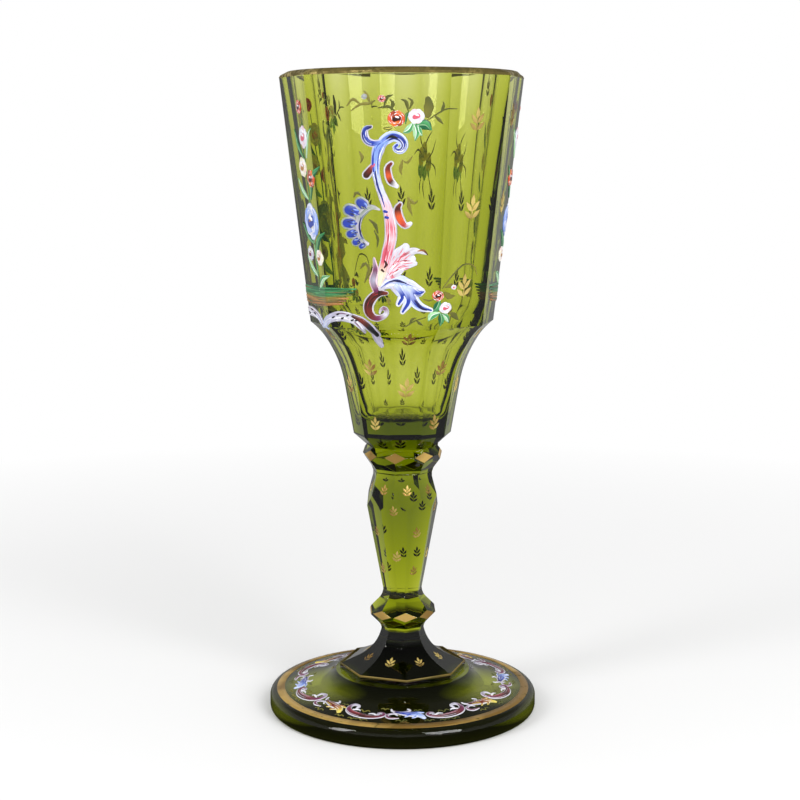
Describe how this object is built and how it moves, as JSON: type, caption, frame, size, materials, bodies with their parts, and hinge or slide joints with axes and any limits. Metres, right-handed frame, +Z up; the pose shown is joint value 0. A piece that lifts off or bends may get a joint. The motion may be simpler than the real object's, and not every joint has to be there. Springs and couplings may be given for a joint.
{
  "type": "footed drinking goblet",
  "caption": "Footed goblet of facet-cut green glass with gilding and raised enamel ornament, for holding a drink.",
  "frame": {"origin": "centre of the foot's resting face", "axes": "+Z up along the axis of the goblet, -Y towards the viewer of the picture, +X to the right"},
  "size_m": [0.0896, 0.0896, 0.2101],
  "materials": {
    "glass": "cut and polished",
    "gilding": "fired gold, slightly worn",
    "enamel_blue": "raised enamel, glossy",
    "enamel_rose": "raised enamel, glossy",
    "enamel_red": "raised enamel, glossy",
    "enamel_white": "raised enamel, glossy",
    "enamel_green": "raised enamel, glossy"
  },
  "bodies": {
    "root": {"foot": "glass", "pedestal": "glass", "lower_knop": "glass", "stem": "glass", "upper_knop": "glass", "bowl": "glass", "lip_gilding": "gilding", "upper_knop_gilding": "gilding", "lower_knop_gilding": "gilding", "pedestal_gold_line": "gilding", "foot_gold_band": "gilding", "scroll_stem_enamel": "enamel_rose", "scroll_shell_enamel": "enamel_blue", "scroll_comma_enamel": "enamel_red", "scroll_leaf_enamel": "enamel_white", "base_scroll_enamel": "enamel_white", "flower_enamel": "enamel_rose", "flower_leaf_enamel": "enamel_green", "bouquet_bloom_enamel": "enamel_white", "bouquet_leaf_enamel": "enamel_green", "ground_enamel": "enamel_green", "foot_scroll_enamel": "enamel_rose", "foot_leaf_enamel": "enamel_blue"}
  },
  "joints": []
}
